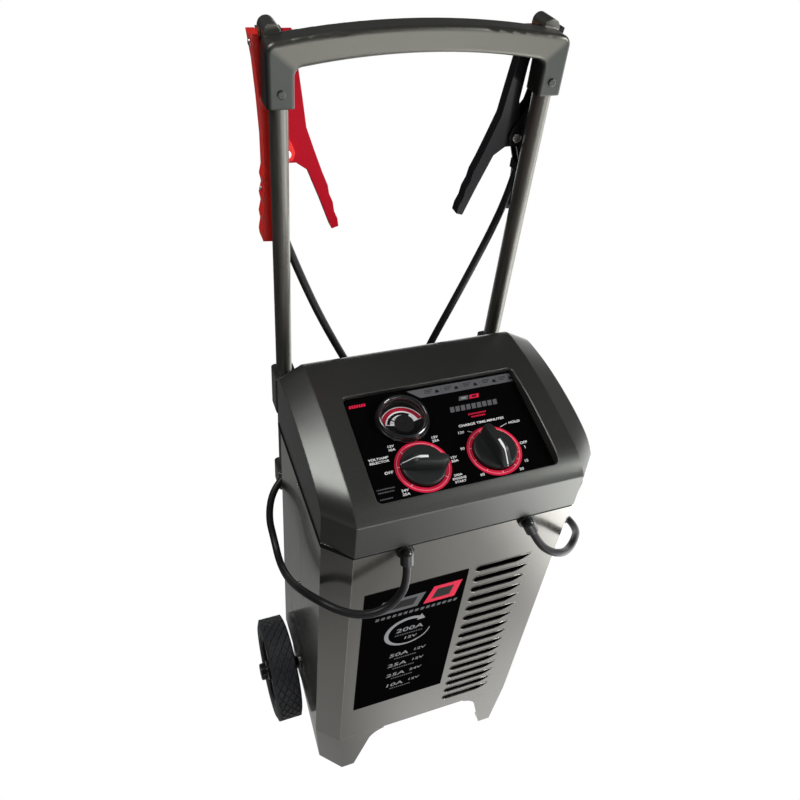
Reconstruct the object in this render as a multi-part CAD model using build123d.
from build123d import *
import os
import math

os.makedirs("parts", exist_ok=True)

# ---------------------------------------------------------------------------
# Wheeled car battery charger.  Millimetres, +Z up, front of the cabinet at -Y.
# Everything below is laid out with y = 0 on the front panel and is moved back
# by Y_ORIGIN when it is written, which puts the origin on the floor under the
# middle of the charger.
# ---------------------------------------------------------------------------
CAB_W = 330.0          # cabinet width
CAB_D = 211.0          # cabinet depth
CAB_TOP = 560.0        # top of the sheet cabinet, bottom of the hood
FRONT_BOTTOM = 102.5   # lower edge of the front cover
REAR_BOTTOM = 118.0    # lower edge of the rear cover
FLAT_HALF = 135.7      # half width of the flat front face
CHAMFER_Y = 26.7       # depth of the corner chamfers
SEAM_Y = 111.5         # side seam between the two covers
SHEET = 1.5            # sheet steel
HOOD_REAR = 225.0      # back of the hood
PANEL_TILT = 13.0      # slope of the control panel, degrees
PANEL_Y, PANEL_Z = 17.8, 618.6   # lower edge of the control panel
PANEL_W, PANEL_L = 211.0, 131.0  # visible control panel
LOUVRES = 16
LOUVRE_PITCH = 22.25
WHEEL_R = 80.0
WHEEL_W = 40.0
WHEEL_IN = 171.0       # inner face of each wheel from the centre line
WHEEL_Y = 152.0
AXLE_R = 6.35
TUBE_X, TUBE_Y = 146.0, 268.0    # handle tube centre lines
TUBE_RX, TUBE_RY = 9.5, 12.5     # oval tube half axes
TUBE_Z0, TUBE_Z1 = 386.0, 984.0
GRIP_Y0, GRIP_Y1 = 253.0, 283.0
CLAMP_Y = 294.0        # centre plane of the parked clamps
PIVOT_X, PIVOT_Z = 135.0, 883.0  # clamp pivot
LEAD_D = 9.6           # charging lead diameter
Y_ORIGIN = 143.0

shapes = {}


def put(name, shape):
    shapes[name] = shape


def V(x, y, z):
    return Vector(x, y, z)


def box(x0, x1, y0, y1, z0, z1):
    return Pos((x0 + x1) / 2, (y0 + y1) / 2, (z0 + z1) / 2) * Box(abs(x1 - x0), abs(y1 - y0), abs(z1 - z0))


def rod(c, d, r, length):
    """cylinder from point c along direction d"""
    return Plane(origin=V(*c), z_dir=V(*d)) * Cylinder(r, length, align=(Align.CENTER, Align.CENTER, Align.MIN))


def ring(c, d, ro, ri, length):
    return rod(c, d, ro, length) - rod((c[0] - d[0], c[1] - d[1], c[2] - d[2]), d, ri, length + 2)


def poly(pts):
    return Face(Wire.make_polygon([V(*p) for p in pts], close=True))


def ext(face, vec):
    v = V(*vec)
    return extrude(face, amount=v.length, dir=v.normalized())


def p_xy(pts, z0, z1):
    return ext(poly([(x, y, z0) for x, y in pts]), (0, 0, z1 - z0))


def p_xz(pts, y0, y1):
    return ext(poly([(x, y0, z) for x, z in pts]), (0, y1 - y0, 0))


def p_yz(pts, x0, x1):
    return ext(poly([(x0, y, z) for y, z in pts]), (x1 - x0, 0, 0))


def offset_open(pts, t):
    """offset an open 2-D line to its left by t with mitred corners"""
    out = []
    n = len(pts)
    nor = []
    for a, b in zip(pts[:-1], pts[1:]):
        dx, dy = b[0] - a[0], b[1] - a[1]
        l = math.hypot(dx, dy)
        nor.append((-dy / l, dx / l))
    for i, p in enumerate(pts):
        if i == 0:
            m = nor[0]; k = 1.0
        elif i == n - 1:
            m = nor[-1]; k = 1.0
        else:
            m = (nor[i - 1][0] + nor[i][0], nor[i - 1][1] + nor[i][1])
            l = math.hypot(*m); m = (m[0] / l, m[1] / l)
            k = 1.0 / (m[0] * nor[i][0] + m[1] * nor[i][1])
        out.append((p[0] + m[0] * t * k, p[1] + m[1] * t * k))
    return out


def strip(pts, t, z0, z1):
    """folded sheet: open line pts, thickness t to the left"""
    return p_xy(list(pts) + list(reversed(offset_open(pts, t))), z0, z1)


def mirrored(shape):
    return mirror(shape, about=Plane.YZ)


def both(shape):
    return [shape, mirrored(shape)]


def group(items):
    solids = []
    for it in items:
        solids += list(it.solids())
    return Compound(solids)


# ---------------------------------------------------------------------------
# cabinet covers
# ---------------------------------------------------------------------------
hw = CAB_W / 2
front_line = [(hw, SEAM_Y), (hw, CHAMFER_Y), (FLAT_HALF, 0), (-FLAT_HALF, 0), (-hw, CHAMFER_Y), (-hw, SEAM_Y)]
front_line = list(reversed(front_line))           # left rear -> front -> right rear, inside is to the left
front_inner = offset_open(front_line, SHEET)
# five flat faces, joined edge to edge along the folds
flats = [p_xy([front_line[i], front_line[i + 1], front_inner[i + 1], front_inner[i]], FRONT_BOTTOM, CAB_TOP) for i in range(5)]
front = flats[2]

louvre_z = [470.0 - i * LOUVRE_PITCH for i in range(LOUVRES)]
cut = []
for z in louvre_z:
    e1 = ThreePointArc(V(31.0, -3, z + 5.6), V(24.8, -3, z - 0.6), V(31.0, -3, z - 6.8))
    e2 = Line(V(31.0, -3, z - 6.8), V(80, -3, z - 6.8))
    e3 = ThreePointArc(V(80, -3, z - 6.8), V(92.8, -3, z - 3.2), V(101.0, -3, z + 4.8))
    e4 = Line(V(101.0, -3, z + 4.8), V(101.0, -3, z + 5.6))
    e5 = Line(V(101.0, -3, z + 5.6), V(31.0, -3, z + 5.6))
    cut.append(ext(Face(Wire([e1, e2, e3, e4, e5])), (0, 8, 0)))
for s in (-1, 1):
    cut.append(rod((s * 76.0, -3, 549), (0, 1, 0), 8.0, 10))
front = front - cut
# the pressed-in blade behind each louvre slot
blades = []
for z in louvre_z:
    blades.append(p_yz([(SHEET - 0.1, z + 6.4), (SHEET + 1.1, z + 6.4), (11.0, z - 7.6), (9.8, z - 7.6)], 27, 99))
front = front + blades

side_screw_z = [551.0, 348.0, 146.0]
side_screw_y = SEAM_Y + 10.0
for z in side_screw_z:
    flats[0] = flats[0] - rod((-hw - 5, SEAM_Y - 12, z), (1, 0, 0), 1.6, 20)
    flats[4] = flats[4] - rod((hw + 5, SEAM_Y - 12, z), (-1, 0, 0), 1.6, 20)
put("front_cover", group([flats[0], flats[1], front, flats[3], flats[4]]))

rear_line = [(-hw, SEAM_Y + 0.6), (-hw, CAB_D), (hw, CAB_D), (hw, SEAM_Y + 0.6)]
rear = strip(rear_line, -SHEET, REAR_BOTTOM, CAB_TOP)
cut = []
for z in side_screw_z:
    cut.append(rod((-hw - 5, side_screw_y, z), (1, 0, 0), 2.2, 2 * hw + 10))
for i in range(9):                                   # vent slots behind the transformer
    z = 150 + i * 11.0
    cut.append(box(-70, 70, CAB_D - 5, CAB_D + 5, z, z + 4.5))
FAN_Z = 330.0
for i in range(-5, 6):                               # fan outlet, slots inside a circle
    z = FAN_Z + i * 9.0
    w = math.sqrt(max(54.0 ** 2 - (i * 9.0) ** 2, 60))
    cut.append(box(-w, -3, CAB_D - 5, CAB_D + 5, z - 2.4, z + 2.4))
    cut.append(box(3, w, CAB_D - 5, CAB_D + 5, z - 2.4, z + 2.4))
cut.append(rod((112, CAB_D - 6, 172), (0, 1, 0), 8.0, 12))   # mains cord gland
rear = rear - cut
put("rear_cover", rear)

# seam strip inside, carries the side screws
seam_l = box(-hw + SHEET + 0.05, -hw + SHEET + 1.6, SEAM_Y - 10, SEAM_Y + 18, 124, 556)
for z in side_screw_z:
    seam_l = seam_l - rod((-hw - 5, side_screw_y, z), (1, 0, 0), 2.2, 20)
put("seam_strips", group(both(seam_l)))

screws = []
for z in side_screw_z:
    s1 = rod((-hw - 1.7, side_screw_y, z), (1, 0, 0), 3.6, 1.7) + rod((-hw - 0.2, side_screw_y, z), (1, 0, 0), 2.0, 9.0)
    s1 = s1 - box(-hw - 2.0, -hw - 0.9, side_screw_y - 3.0, side_screw_y + 3.0, z - 0.45, z + 0.45)
    screws += both(s1)
put("cover_screws", group(screws))

# ---------------------------------------------------------------------------
# base pan, legs, axle brackets
# ---------------------------------------------------------------------------
base_in = offset_open(front_line, SHEET + 2.0)
pan = p_xy([(x, max(y, 0)) for x, y in base_in[1:-1]] + [(hw - 3.5, CAB_D - 3.5), (-hw + 3.5, CAB_D - 3.5)], REAR_BOTTOM + 1, REAR_BOTTOM + 3)
for i in range(6):
    pan = pan - box(-95 + i * 34, -75 + i * 34, 60, 150, REAR_BOTTOM - 1, REAR_BOTTOM + 5)
put("base_pan", pan)

LT = 2.0   # leg sheet thickness


def leg_loft(inset):
    top = [(0, inset), (-FLAT_HALF + 0.45 * inset, inset), (-hw + inset, CHAMFER_Y + 0.45 * inset), (-hw + inset, 150), (0, 150)]
    bot = [(0, inset), (-128.9 + 0.45 * inset, inset), (-157.2 + inset, 29 + 0.45 * inset), (-157.2 + inset, 150), (0, 150)]
    e = 4.0 if inset else 0.0   # the inner shape runs a little past both ends
    def at(zz):
        t = (FRONT_BOTTOM - zz) / FRONT_BOTTOM
        return [(a[0] + (b[0] - a[0]) * t, a[1] + (b[1] - a[1]) * t, zz) for a, b in zip(top, bot)]
    return Solid.make_loft([Wire.make_polygon([V(*p) for p in at(FRONT_BOTTOM - 0.3 + e)], close=True),
                            Wire.make_polygon([V(*p) for p in at(0 - e)], close=True)], ruled=True)


shell = leg_loft(0) - leg_loft(LT)
prof = Wire([Line(V(-175, -2, -1), V(-175, -2, 110)), Line(V(-175, -2, 110), V(-66, -2, 110)), Line(V(-66, -2, 110), V(-66, -2, 99)),
             ThreePointArc(V(-66, -2, 99), V(-80.0, -2, 91.0), V(-88.5, -2, 78)), Line(V(-88.5, -2, 78), V(-109.4, -2, -1)), Line(V(-109.4, -2, -1), V(-175, -2, -1))])
keep_a = ext(Face(prof), (0, 26, 0))
keep_b = p_yz([(10, -1), (33, -1), (134.7, 112), (134.7, 130), (10, 130)], -175, -135)
leg = shell & (keep_a + keep_b)
# upper part of the side wing behind the front cover
leg = leg + box(-hw, -hw + LT, SEAM_Y + 0.7, 134.7, FRONT_BOTTOM - 0.3, REAR_BOTTOM - 0.3)
leg = leg + box(-hw + SHEET + 0.1, -hw + SHEET + 2.1, 40, 130, 100, 116)
# inner return flange and the sole of the foot
leg = leg + box(-111.4, -109.4, 0.3, 14, 0, 6)
leg = leg + p_xy([(-109.4, 0), (-128.9, 0), (-157.2, 29), (-157.2, 33), (-150, 33), (-126, 14), (-109.4, 14)], 0, 2.0)
leg = leg + p_xy([(-66, 2.1), (-134.5, 2.1), (-160, 27), (-160, 34), (-66, 8)], 99.0, 101.0)
leg = max(leg.solids(), key=lambda s: s.volume)
put("left_front_leg", leg)
put("right_front_leg", mirrored(leg))

# the two axle brackets hang from the base pan, outside channel, inside the wheels
br = p_yz([(WHEEL_Y - 46, REAR_BOTTOM + 0.8), (WHEEL_Y + 46, REAR_BOTTOM + 0.8), (WHEEL_Y + 18, 80 - 17), (WHEEL_Y - 18, 80 - 17)], -161.0, -158.0)
br = br + box(-161.0, -132.0, WHEEL_Y - 46, WHEEL_Y + 46, REAR_BOTTOM - 2.2, REAR_BOTTOM + 0.8)
br = br - rod((-175, WHEEL_Y, 80), (1, 0, 0), AXLE_R + 0.05, 60)
put("axle_brackets", group(both(br)))

axle = rod((-WHEEL_IN - WHEEL_W - 7.0, WHEEL_Y, 80), (1, 0, 0), AXLE_R, 2 * (WHEEL_IN + WHEEL_W + 7.0))
put("axle", axle)

# spacer sleeve and washers between bracket and wheel, push-on cap outside
spacers, caps = [], []
for s, nm in ((-1, "left"), (1, "right")):
    sp = ring((-WHEEL_IN + 1.0, WHEEL_Y, 80), (1, 0, 0), 10.0, AXLE_R + 0.05, WHEEL_IN - 1.0 - 161.3)
    cap = rod((-WHEEL_IN - WHEEL_W - 10.5, WHEEL_Y, 80), (1, 0, 0), 13.0, 9.7)
    cap = cap - rod((-WHEEL_IN - WHEEL_W - 7.1, WHEEL_Y, 80), (1, 0, 0), AXLE_R + 0.03, 12)
    cap = fillet(cap.edges().filter_by(GeomType.CIRCLE).sort_by(Axis.X)[0], 2.5)
    if s > 0:
        sp, cap = mirrored(sp), mirrored(cap)
    spacers.append(sp)
    caps.append(cap)
put("axle_spacers", group(spacers))
put("axle_caps", group(caps))

# wheels: moulded rim with a hub and five spokes, semi-solid tyre
RIM_R = 55.0
xi, xo = -WHEEL_IN, -WHEEL_IN - WHEEL_W
tyre = rod((xo, WHEEL_Y, 80), (1, 0, 0), WHEEL_R, WHEEL_W) - rod((xo - 1, WHEEL_Y, 80), (1, 0, 0), RIM_R + 0.05, WHEEL_W + 2)
tyre = fillet(tyre.edges().filter_by(GeomType.CIRCLE).filter_by(lambda e: e.radius > WHEEL_R - 1), 5.0)
rim = ring((xo + 3, WHEEL_Y, 80), (1, 0, 0), RIM_R - 0.05, RIM_R - 6, WHEEL_W - 6)
rim = rim + ring((xo + 0.5, WHEEL_Y, 80), (1, 0, 0), 15.0, AXLE_R + 0.08, WHEEL_W - 1.5)
rim = rim + ring((xo + 17, WHEEL_Y, 80), (1, 0, 0), RIM_R - 5, 14, 5)
for k in range(5):
    a = math.radians(72 * k + 90)
    sp = box(xo + 5, xo + WHEEL_W - 5, 12, RIM_R - 4, -3.5, 3.5)
    rim = rim + Pos(0, WHEEL_Y, 80) * (Rot(math.degrees(a), 0, 0) * sp)
rim = rim - rod((xo - 5, WHEEL_Y, 80), (1, 0, 0), AXLE_R + 0.08, WHEEL_W + 10)
for s, nm in ((-1, "left"), (1, "right")):
    put(nm + "_tyre", tyre if s < 0 else mirrored(tyre))
    put(nm + "_wheel_rim", rim if s < 0 else mirrored(rim))

# ---------------------------------------------------------------------------
# control hood
# ---------------------------------------------------------------------------
def hood_section(x, w, yf, zlip, crown, yr, inset):
    """closed outline at one x: flat front lip, convex crown, upright rear"""
    a = V(x, yf, CAB_TOP + (0 if inset == 0 else -3))
    b = V(x, yf, zlip)
    pts = [V(x, y, z) for y, z in crown]
    c = V(x, yr, CAB_TOP + (0 if inset == 0 else -3))
    top = Spline(b, *pts)
    return Wire([Line(a, b), top, Line(pts[-1], c), Line(c, a)])


crown_mid = [(14, 624.5), (50, 636.0), (90, 645.0), (130, 651.5), (165, 655.0), (198, 655.5), (219, 651.5), (HOOD_REAR, 642)]
crown_out = [(38, 615.5), (62, 626.5), (95, 634.5), (130, 640.0), (165, 642.5), (195, 642.0), (215, 637.5), (222, 629)]


def inset_pts(pts, t):
    return [(y + (t if i < 1 else 0) - (t * (1.0 if i >= len(pts) - 1 else 0.4 if i == len(pts) - 2 else 0)), z - t * 1.02) for i, (y, z) in enumerate(pts)]


def hood_body(t):
    mid = inset_pts(crown_mid, t) if t else crown_mid
    out = inset_pts(crown_out, t) if t else crown_out
    x1, x2 = FLAT_HALF - t * 0.4, hw - t
    secs = [hood_section(-x2, 0, CHAMFER_Y + 2 + t * 0.5, 606 - t * 0.4, out, 222 - t, t),
            hood_section(-x1, 0, -3 + t, 609.5 - t * 0.4, mid, HOOD_REAR - t, t),
            hood_section(x1, 0, -3 + t, 609.5 - t * 0.4, mid, HOOD_REAR - t, t),
            hood_section(x2, 0, CHAMFER_Y + 2 + t * 0.5, 606 - t * 0.4, out, 222 - t, t)]
    parts = [Solid.make_loft([secs[i], secs[i + 1]], ruled=True) for i in range(3)]
    return parts[0] + parts[1] + parts[2]


hood_out = hood_body(0)
hood_in = hood_body(3.0)
panel = Plane(origin=V(0, PANEL_Y, PANEL_Z), x_dir=V(1, 0, 0), z_dir=V(0, -math.sin(math.radians(PANEL_TILT)), math.cos(math.radians(PANEL_TILT))))


def pbox(x0, x1, s0, s1, n0, n1):
    """box laid out on the control panel: x across, s up the slope, n off the panel"""
    return panel * box(x0, x1, s0, s1, n0, n1)


def prod(x, s, n, r, length):
    return panel * rod((x, s, n), (0, 0, 1), r, length)


# the window walls lean outwards from the panel
opening = panel * (Pos(0, PANEL_L / 2, -0.5) * extrude(RectangleRounded(PANEL_W + 2, PANEL_L + 5, 4.0), amount=45, taper=-18))
frame_blk = pbox(-PANEL_W / 2 - 12, PANEL_W / 2 + 12, -9.5, PANEL_L + 9, 0.1, 40)
hood = (hood_out - hood_in) + (frame_blk & hood_out)
hood = hood - opening
# the rear of the hood is open at the bottom behind the cabinet: closed by a lip
hood = hood + box(-hw + 6, hw - 6, CAB_D + 0.3, HOOD_REAR - 1.0, CAB_TOP, CAB_TOP + 2.5)
hood = max(hood.solids(), key=lambda s: s.volume)
put("control_hood", hood)

kx, ks = -44.0, 30.8        # selector knob
tx, ts = 43.5, 31.7         # timer knob
mx, ms = -47.0, 94.3        # meter
plate = pbox(-PANEL_W / 2 - 8, PANEL_W / 2 + 8, -8.0, PANEL_L + 8, -2.0, 0.0)
plate = plate - [prod(kx, ks, -5, 4.6, 10), prod(tx, ts, -5, 4.6, 10), prod(mx, ms, -5, 26.3, 10)]
put("control_panel", plate)

# ammeter: case, bezel ring, dial, needle, lens, movement cover
NEEDLE_REST = 48.0       # the unpowered needle lies at the left end of its scale
case = prod(mx, ms, -34, 26.0, 36) - prod(mx, ms, -32, 24.4, 40)
put("meter_case", case)
bezel = prod(mx, ms, 0.05, 32.0, 9.0) - prod(mx, ms, -1, 26.05, 5.1) - prod(mx, ms, 4.0, 25.0, 8)
bezel = bezel - prod(mx, ms, 4.05, 27.6, 2.6)
put("meter_bezel", bezel)
put("meter_lens", prod(mx, ms, 4.2, 27.4, 2.2))
put("meter_dial", prod(mx, ms, -8.0, 24.2, 1.2) - prod(mx, ms - 6, -9.0, 3.2, 4))
mcov = (prod(mx, ms - 6.5, 0.2, 11.5, 2.0) & pbox(mx - 20, mx + 20, ms - 23, ms + 5.0, -5, 6))
put("meter_cover", mcov)
pin = prod(mx, ms - 6, -11.0, 1.0, 9.0)
arm = panel * (Pos(mx, ms - 6, 0) * (Rot(0, 0, NEEDLE_REST) * box(-0.5, 0.5, -3.5, 19.0, -4.2, -3.2)))
needle = pin + prod(mx, ms - 6, -4.6, 3.0, 2.0) + arm
put("meter_needle", needle)
coil = pbox(mx - 10, mx + 10, ms - 16, ms + 6, -30, -12.2) - prod(mx, ms - 6, -13.5, 1.15, 3)
put("meter_movement", coil)


def knob(x, s, turn):
    k = prod(0, 0, 1.2, 25.5, 4.8)
    k = panel.location.inverse() * k
    k = chamfer(k.edges().filter_by(GeomType.CIRCLE).sort_by(Axis.Z)[-1], 1.2)
    bar = Pos(-0.15, 0, 14.0) * Box(52.7, 16.0, 17.0)
    bar = chamfer(bar.edges().group_by(Axis.Z)[-1], 3.0)
    bar = fillet(bar.edges().filter_by(Axis.Z), 5.5)
    k = k + bar
    k = k - rod((0, 0, -1), (0, 0, 1), 3.2, 16)
    k = k + rod((0, 0, 12), (0, 0, 1), 3.3, 4)
    return panel * (Pos(x, s, 0) * (Rot(0, 0, turn) * k))


SELECTOR_TURN = -12.0    # the blunt end of the bar points right, the pointer to OFF
TIMER_TURN = 100.0
put("selector_knob", knob(kx, ks, SELECTOR_TURN))
put("timer_knob", knob(tx, ts, TIMER_TURN))
put("selector_shaft", prod(kx, ks, -14.0, 3.1, 25.8))
put("timer_shaft", prod(tx, ts, -14.0, 3.1, 25.8))

sel = pbox(kx - 21, kx + 21, ks - 21, ks + 21, -30, -3.2) + prod(kx, ks, -3.3, 4.4, 3.2)
sel = sel - prod(kx, ks, -14.2, 3.16, 20)
for k in range(6):
    a = math.radians(60 * k + 30)
    sel = sel + pbox(kx + 15 * math.cos(a) - 2, kx + 15 * math.cos(a) + 2, ks + 15 * math.sin(a) - 0.6, ks + 15 * math.sin(a) + 0.6, -36, -29)
put("selector_switch", sel)
tim = pbox(tx - 24, tx + 24, ts - 27, ts + 27, -34, -3.2) + prod(tx, ts, -3.3, 4.4, 3.2)
tim = tim - prod(tx, ts, -14.2, 3.16, 20)
tim = tim + pbox(tx - 12, tx - 11, ts - 8, ts - 2, -42, -33) + pbox(tx + 11, tx + 12, ts - 8, ts - 2, -42, -33)
put("timer_mechanism", tim)

# raised front label plate
put("front_label_plate", box(-118.6, 14.6, -0.8, -0.02, 189.5, 475.5))

# ---------------------------------------------------------------------------
# handle
# ---------------------------------------------------------------------------
def tube_solid(rx, ry, z0, z1, x=TUBE_X):
    return Pos(x, TUBE_Y, z0) * extrude(Ellipse(rx, ry), amount=z1 - z0)


rt = tube_solid(TUBE_RX, TUBE_RY, TUBE_Z0, TUBE_Z1) - tube_solid(TUBE_RX - 1.6, TUBE_RY - 1.6, TUBE_Z0 - 1, TUBE_Z1 + 1)
bolt_z = [576.0, 410.0]
for z in bolt_z:
    rt = rt - rod((TUBE_X, TUBE_Y - 20, z), (0, 1, 0), 3.1, 40)
rt = rt - rod((TUBE_X, TUBE_Y - 20, 956.0), (0, 1, 0), 2.1, 40)
put("right_handle_tube", rt)
put("left_handle_tube", mirrored(rt))

# grip: one moulding, two sockets and an arched bar
SX0, SX1 = 132.5, 160.0
gz = 942.0
y0 = GRIP_Y0
w = Wire([
    Line(V(-SX1, y0, gz), V(-SX1, y0, 1001.0)),
    ThreePointArc(V(-SX1, y0, 1001.0), V(0, y0, 1014.5), V(SX1, y0, 1001.0)),
    Line(V(SX1, y0, 1001.0), V(SX1, y0, gz)), Line(V(SX1, y0, gz), V(SX0, y0, gz)), Line(V(SX0, y0, gz), V(SX0, y0, 978.4)),
    ThreePointArc(V(SX0, y0, 978.4), V(0, y0, 989.5), V(-SX0, y0, 978.4)),
    Line(V(-SX0, y0, 978.4), V(-SX0, y0, gz)), Line(V(-SX0, y0, gz), V(-SX1, y0, gz))])
gf = Face(w)
gf = gf.fillet_2d(11.0, [v for v in gf.vertices() if v.Z > 995])
gf = gf.fillet_2d(9.0, [v for v in gf.vertices() if 975 < v.Z < 980 and abs(v.X) < SX0 + 1])
grip = ext(gf, (0, GRIP_Y1 - GRIP_Y0, 0))
longs = [e for e in grip.edges() if (abs(e.center().Y - GRIP_Y0) < 0.1 or abs(e.center().Y - GRIP_Y1) < 0.1) and e.center().Z > gz + 1]
done = False
for rr in (4.5, 3.5, 2.5, 1.5):
    try:
        grip = fillet(longs, rr)
        done = True
        print("grip edge radius", rr)
        break
    except Exception as ex:
        continue
for s in (-1, 1):
    grip = grip - tube_solid(TUBE_RX + 0.15, TUBE_RY + 0.15, gz - 5, 984.5, s * TUBE_X)
    grip = grip - rod((s * TUBE_X, TUBE_Y - 30, 956.0), (0, 1, 0), 2.2, 60)
# the parking ears behind the two upper corners
TABX0, TABX1 = 139.0, 156.5
ear = box(-TABX1, -TABX0, GRIP_Y1 - 6, 305, 978, 1003) + rod((-(TABX0 + TABX1) / 2, GRIP_Y1 - 6, 1003), (0, 1, 0), (TABX1 - TABX0) / 2, 305 - GRIP_Y1 + 6)
ear = ear - box(-170, -120, 260, GRIP_Y1 - 0.01, 900, 1001)
grip = grip + ear + mirrored(ear)
grip = max(grip.solids(), key=lambda s: s.volume)
put("handle_grip", grip)
gs = []
for s in (-1, 1):
    g1 = rod((s * TUBE_X, GRIP_Y0 - 1.9, 956.0), (0, 1, 0), 4.0, 1.87) + rod((s * TUBE_X, GRIP_Y0 - 0.1, 956.0), (0, 1, 0), 2.0, 26.0)
    gs.append(g1)

# tube brackets on the back of the cabinet
def bracket(z0, z1, foot0, foot1):
    b = box(TUBE_X - 14, TUBE_X + 14, TUBE_Y - 17, TUBE_Y + 16.5, z0, z1)
    b = fillet(b.edges().filter_by(Axis.Z), 6.0)
    b = b + box(TUBE_X - 11, TUBE_X + 9, CAB_D + 0.05, TUBE_Y - 14, foot0, foot1)
    b = b - tube_solid(TUBE_RX + 0.05, TUBE_RY + 0.05, z0 - 5, z1 + 5)
    return b


ub = bracket(545.0, 603.0, 508.0, 558.5)
ub = ub + box(TUBE_X - 11, TUBE_X + 9, HOOD_REAR + 0.4, TUBE_Y - 14, 545, 596)
ub = ub - rod((TUBE_X, TUBE_Y - 60, 576.0), (0, 1, 0), 3.1, 100)
lb = bracket(394.0, 428.0, 394.0, 428.0) - rod((TUBE_X, TUBE_Y - 60, 410.0), (0, 1, 0), 3.1, 100)
put("upper_tube_brackets", group(both(ub)))
put("lower_tube_brackets", group(both(lb)))
tb = []
for s in (-1, 1):
    for z, ya in ((576.0, HOOD_REAR + 1.0), (410.0, CAB_D + 0.6)):
        b1 = rod((s * TUBE_X, ya, z), (0, 1, 0), 3.0, TUBE_Y + 16.5 - ya + 0.2) + rod((s * TUBE_X, TUBE_Y + 16.6, z), (0, 1, 0), 5.4, 3.6)
        tb.append(b1)
put("handle_fasteners", group(tb + gs))

# ---------------------------------------------------------------------------
# glands
# ---------------------------------------------------------------------------
def gland(x, tilt_x):
    """strain relief: collar on the sheet, throat through it, hooded spout pointing down"""
    g = rod((x, -3.2, 549), (0, 1, 0), 10.6, 3.1) + rod((x, -3.2, 549), (0, 1, 0), 7.8, 10.5)
    g = g + rod((x, -6.5, 549), (0, 1, 0), 7.6, 5.0)
    dirn = V(tilt_x, -0.42, -0.9).normalized()
    spout = Plane(origin=V(x, -6.5, 549), z_dir=dirn) * Cylinder(7.6, 12.0, align=(Align.CENTER, Align.CENTER, Align.MIN))
    g = g + spout + Pos(x, -6.5, 549) * Sphere(7.6)
    g = g + rod((x, 2.0, 549), (0, 1, 0), 10.5, 3.0)
    return g


RED_X, BLK_X = -76.0, 76.0
put("lead_glands", group([gland(RED_X, -0.05), gland(BLK_X, 0.45)]))
mg = rod((112, CAB_D + 0.05, 172), (0, 1, 0), 12.0, 3.5) + rod((112, CAB_D - 9, 172), (0, 1, 0), 7.8, 9.2) + \
    rod((112, CAB_D + 3.4, 172), (0, 1, 0), 8.0, 16.0) + rod((112, CAB_D - 9, 172), (0, 1, 0), 10.5, 4.0)
mg = mg - rod((112, CAB_D - 12, 172), (0, 1, 0), 4.2, 40)
put("mains_cord_gland", mg)

# ---------------------------------------------------------------------------
# clamps: the outer half is the parked one, the inner half swings on the rivet
# ---------------------------------------------------------------------------
HWA, HWB = 10.0, 6.9      # half widths of the two halves (across Y)
PX, PZ = -PIVOT_X, PIVOT_Z

a_out = [(-167.6, 1001), (-163.6, 974), (-160.6, 937), (-158.4, 899), (-158.2, 866),
         (-160.4, 856), (-158.6, 846), (-161.4, 834), (-159.8, 824), (-162.4, 812), (-161.0, 802), (-163.2, 790), (-162.4, 783)]
a_in = [(-152.0, 782), (-150.0, 800), (-147.5, 846), (-138.0, 872), (-127.5, 876), (-125.5, 884), (-129.0, 894), (-146.0, 920),
        (-153.6, 955), (-157.3, 974), (-158.1, 984), (-159.45, 1001)]
half_a = p_xz(a_out + a_in, CLAMP_Y - HWA, CLAMP_Y + HWA)
# channel: hollow from the inner side, spine kept along the outer edge
spine = [(x + 3.4, z) for x, z in a_out]
cav = p_xz([(p[0], p[1]) for p in spine[1:]] + [(-152.0, 770), (-100, 770), (-100, 962), (-158.6, 962)], CLAMP_Y - HWA + 2.4, CLAMP_Y + HWA - 2.4)
half_a = half_a - cav
# cord grip block low in the channel
half_a = half_a + box(-156.4, -144.6, CLAMP_Y - HWA + 1, CLAMP_Y + HWA - 1, 839.0, 850)
half_a = half_a - rod((PX, CLAMP_Y - 30, PZ), (0, 1, 0), 3.05, 60)
half_a = max(half_a.solids(), key=lambda s: s.volume)

b_out = [(-124.5, 1001), (-122.5, 986), (-120.7, 967), (-116.5, 938), (-112.6, 909), (-104.0, 884), (-94.6, 858), (-88.4, 843), (-86.4, 832), (-82.0, 822), (-80.0, 810), (-76.0, 801), (-74.4, 791)]
b_in = [(-82.5, 788.5), (-95.0, 822), (-111.0, 862), (-124.0, 871.5), (-134.0, 871.8), (-141.5, 876), (-142.0, 888), (-138.0, 899), (-131.5, 925), (-134.0, 962), (-137.0, 984), (-136.0, 1001)]
half_b = p_xz(b_out + b_in, CLAMP_Y - HWB, CLAMP_Y + HWB)
cavb = p_xz([(x - 3.2, z) for x, z in b_out[2:-1]] + [(-100, 786), (-190, 786), (-190, 967)], CLAMP_Y - HWB + 2.2, CLAMP_Y + HWB - 2.2)
half_b = half_b - cavb
half_b = half_b - rod((PX, CLAMP_Y - 30, PZ), (0, 1, 0), 3.08, 60)
half_b = max(half_b.solids(), key=lambda s: s.volume)


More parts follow.
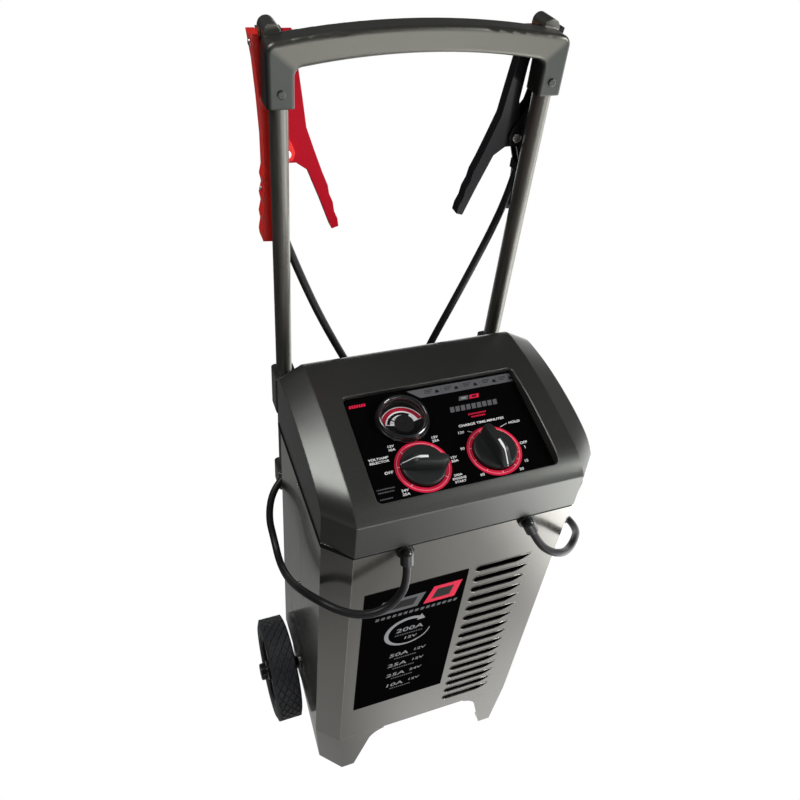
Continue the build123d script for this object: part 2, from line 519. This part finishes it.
# copper jaws: toothed plates on the biting faces
tooth_a = [(-156.8, 985.0), (-156.8, 988), (-157.3, 989.5), (-156.8, 991), (-157.3, 992.5), (-156.8, 994), (-157.3, 995.5), (-156.8, 997), (-157.3, 998.5), (-156.8, 1000), (-157.3, 1001.5), (-156.8, 1004)]
jaw_a = p_xz([(-159.4, 1004), (-159.4, 1001.2), (-158.1, 985.0)] + tooth_a, CLAMP_Y - 6.5, CLAMP_Y + 6.5)
tooth_b = [(-138.7, 985.0), (-138.7, 988), (-138.2, 989.5), (-138.7, 991), (-138.2, 992.5), (-138.7, 994), (-138.2, 995.5), (-138.7, 997), (-138.2, 998.5), (-138.7, 1000), (-138.2, 1001.5), (-138.7, 1004)]
jaw_b = p_xz([(-136.15, 1004), (-136.15, 1001.2), (-137.1, 985.0)] + tooth_b, CLAMP_Y - 6.5, CLAMP_Y + 6.5)
rivet = rod((PX, CLAMP_Y - HWA - 1.8, PZ), (0, 1, 0), 2.99, 2 * HWA + 3.6) + rod((PX, CLAMP_Y - HWA - 2.0, PZ), (0, 1, 0), 5.0, 1.9) + rod((PX, CLAMP_Y + HWA + 0.1, PZ), (0, 1, 0), 5.0, 1.9)
# torsion spring on the rivet, held in the outer half's channel
coils = ring((PX, CLAMP_Y - 3.6, PZ), (0, 1, 0), 5.2, 3.6, 7.2)
for n, (nm, f) in enumerate((("positive", lambda q: q), ("negative", mirrored))):
    put(nm + "_clamp_outer_half", f(half_a))
    put(nm + "_clamp_inner_half", f(half_b))
    put(nm + "_inner_jaw", f(jaw_b))
put("outer_jaws", group(both(jaw_a)))
put("clamp_rivets", group(both(rivet)))
put("clamp_springs", group(both(coils)))

# ---------------------------------------------------------------------------
# inside the cabinet
# ---------------------------------------------------------------------------
Zb = REAR_BOTTOM + 3.0
core = box(-62, 62, 52, 122, Zb + 6, Zb + 112) - [box(-42, -16, 45, 130, Zb + 26, Zb + 92), box(16, 42, 45, 130, Zb + 26, Zb + 92)]
put("transformer_core", core)
put("transformer_windings", box(-41.5, 41.5, 40, 134, Zb + 26.5, Zb + 91.5) - box(-16.1, 16.1, 30, 140, Zb + 20, Zb + 99))
tbk = (box(-75, -62.2, 48, 126, Zb, Zb + 3) + box(-64.2, -62.2, 48, 126, Zb, Zb + 70))
put("transformer_brackets", group(both(tbk)))

heat = box(-70, 70, 168, 171, 420, 520)
for i in range(9):
    x = -66 + i * 16.5
    heat = heat + box(x - 1, x + 1, 150, 168.5, 424, 516)
put("rectifier_heat_sink", heat)
di = []
for x in (-42, -14, 14, 42):
    for z in (446, 494):
        di.append(rod((x, 171.05, z), (0, 1, 0), 8.5, 5.0) + rod((x, 176, z), (0, 1, 0), 3.0, 8))
put("rectifier_diodes", group(di))
put("circuit_breaker", box(80, 116, 30, 62, 480, 508) + rod((90, 46, 508), (0, 0, 1), 3, 8) + rod((106, 46, 508), (0, 0, 1), 3, 8))
shelf = box(-hw + 4, hw - 4, 30, 190, 410, 412) - [box(-70, 70, 40, 140, 400, 420)] - [box(-hw, -hw + 4, 0, 200, 400, 420)]
shelf = shelf + box(-hw + 4, -hw + 5.5, 30, 185, 411.9, 425) + box(hw - 5.5, hw - 4, 30, 185, 411.9, 425)
put("chassis_shelf", shelf)

fan_m = rod((0, 172, FAN_Z), (0, 1, 0), 21, 22) + rod((0, 193.5, FAN_Z), (0, 1, 0), 3.0, 0.5)
fan_m = fan_m - rod((0, 185, FAN_Z), (0, 1, 0), 2.1, 20)
fb = box(-58, 58, 168.8, 171.8, FAN_Z - 12, FAN_Z + 12)
for s in (-1, 1):
    fb = fb + box(s * 58 - 1.5, s * 58 + 1.5, 168.8, CAB_D - 1.7, FAN_Z - 12, FAN_Z + 12)
put("fan_motor", fan_m)
put("fan_bracket", fb)
hubf = rod((0, 195.0, FAN_Z), (0, 1, 0), 10, 8) + rod((0, 186, FAN_Z), (0, 1, 0), 2.0, 12)
blades = []
for k in range(5):
    b = Pos(0, 199, FAN_Z) * (Rot(0, 72 * k, 0) * (Pos(30, 0, 0) * (Rot(24, 0, 0) * Box(43, 1.4, 17))))
    blades.append(b)
fanb = hubf
for b in blades:
    fanb = fanb + b
put("fan_blades", fanb)

# ---------------------------------------------------------------------------
# charging leads
# ---------------------------------------------------------------------------
def lead(pts, d):
    p = [V(*q) for q in pts]
    n = len(p)
    runs = [(p[i + 1] - p[i]).length for i in range(n - 1)]
    edges = []
    radii = []
    cur = p[0]
    length = 0.0
    for i in range(1, n - 1):
        u = (p[i] - p[i - 1]).normalized()
        v = (p[i + 1] - p[i]).normalized()
        turn = math.acos(max(-1, min(1, u.dot(v))))
        t = 0.45 * min(runs[i - 1], runs[i])
        r = t / math.tan(turn / 2)
        radii.append(round(r, 1))
        a = p[i] - u * t
        b = p[i] + v * t
        bis = (v - u).normalized()
        cdist = r / math.cos(turn / 2)
        mid = p[i] + bis * (cdist - r)
        edges.append(Edge.make_line(cur, a))
        edges.append(Edge.make_three_point_arc(a, mid, b))
        length += (a - cur).length + r * turn
        cur = b
    edges.append(Edge.make_line(cur, p[-1]))
    length += (p[-1] - cur).length
    path = Wire(edges)
    prof = Plane(origin=p[0], z_dir=(p[1] - p[0]).normalized()) * Circle(d / 2)
    s = sweep(prof, path=path)
    area = math.pi * d * d / 4
    print("lead: points", n, "length", round(length, 1), "volume/section*length", round(s.volume / (area * length), 4),
          "radii", radii, "min", min(radii), "runs", [round(r) for r in runs],
          "turns", [round(math.degrees(2 * math.atan(0.45 * min(runs[i - 1], runs[i]) / radii[i - 1]))) for i in range(1, n - 1)])
    return s


RED_LEAD = [(-76.6, -11.57, 538.14), (-77.7, -20.9, 518.2), (-88.6, -27.6, 499.5), (-106.8, -29.6, 486.3), (-128.5, -26.0, 480.5), (-151.2, -15.1, 481.9), (-170.5, 6.0, 480.2),
            (-182.4, 35.0, 463.5), (-186.8, 70.0, 432.6), (-188.0, 103.9, 405.8), (-188.5, 135.9, 391.3), (-187.6, 166.0, 395.5), (-188.8, 194.0, 413.0), (-177.0, 218.5, 435.5),
            (-150.5, 235.0, 449.0), (-119.6, 243.5, 444.0), (-97.8, 246.0, 419.5), (-93.6, 244.0, 374.0), (-100.5, 242.0, 326.0), (-102.6, 241.0, 279.0), (-80.2, 240.5, 246.6),
            (-42.5, 241.0, 238.2), (-9.7, 242.0, 257.9), (4.4, 243.0, 298.0), (2.5, 242.5, 354.0), (-3.0, 242.0, 411.0), (-13.0, 243.0, 467.0), (-28.4, 244.1, 522.0), (-50.2, 247.0, 579.0),
            (-77.8, 251.2, 633.8), (-102.5, 263.8, 687.0), (-120.0, 277.0, 732.0), (-134.0, 287.6, 772.0), (-145.0, 293.2, 806.0), (-149.5, 294.0, 838.0)]
BLK_LEAD = [(80.95, -11.12, 539.1), (90.0, -19.6, 521.0), (106.0, -25.9, 507.3), (125.2, -24.8, 496.7), (142.2, -15.6, 486.3), (159.4, -2.2, 482.0), (178.8, 18.7, 468.8),
            (185.6, 49.9, 455.3), (187.3, 81.2, 431.5), (189.1, 114.0, 416.1), (188.4, 143.9, 410.6), (187.1, 172.3, 415.2), (188.5, 200.2, 431.0), (175.9, 222.3, 448.7),
            (149.6, 237.0, 460.0), (119.7, 246.7, 454.4), (96.2, 253.0, 431.0), (86.7, 259.1, 382.3), (98.1, 264.2, 335.2), (100.9, 264.8, 283.8), (79.2, 264.6, 251.4),
            (44.5, 264.8, 240.2), (11.2, 265.1, 256.2), (-7.0, 264.2, 290.2), (-9.3, 263.0, 343.9), (-2.7, 262.0, 400.2), (6.3, 261.4, 456.0), (18.4, 259.8, 511.9), (34.2, 259.4, 565.9),
            (51.9, 260.0, 620.0), (75.4, 264.4, 671.0), (101.5, 273.2, 721.5), (127.0, 284.6, 768.0), (143.8, 292.8, 806.0), (149.5, 294.0, 838.0)]
put("positive_lead", lead(RED_LEAD, LEAD_D))
put("negative_lead", lead(BLK_LEAD, LEAD_D))

# ---------------------------------------------------------------------------
# write
# ---------------------------------------------------------------------------
lo = [1e9] * 3
hi = [-1e9] * 3
for name, shp in shapes.items():
    if isinstance(shp, (list, ShapeList)):
        shp = group(shp)
    shp = Pos(0, -Y_ORIGIN, 0) * shp
    sol = shp.solids()
    out = sol[0] if len(sol) == 1 else Compound(list(sol))
    export_step(out, "parts/" + name + ".step")
    if not name.endswith("_lead"):
        bb = out.bounding_box()
        lo = [min(lo[0], bb.min.X), min(lo[1], bb.min.Y), min(lo[2], bb.min.Z)]
        hi = [max(hi[0], bb.max.X), max(hi[1], bb.max.Y), max(hi[2], bb.max.Z)]
print("nodes", len(shapes), "bounds without leads", [round(v, 2) for v in lo], [round(v, 2) for v in hi])
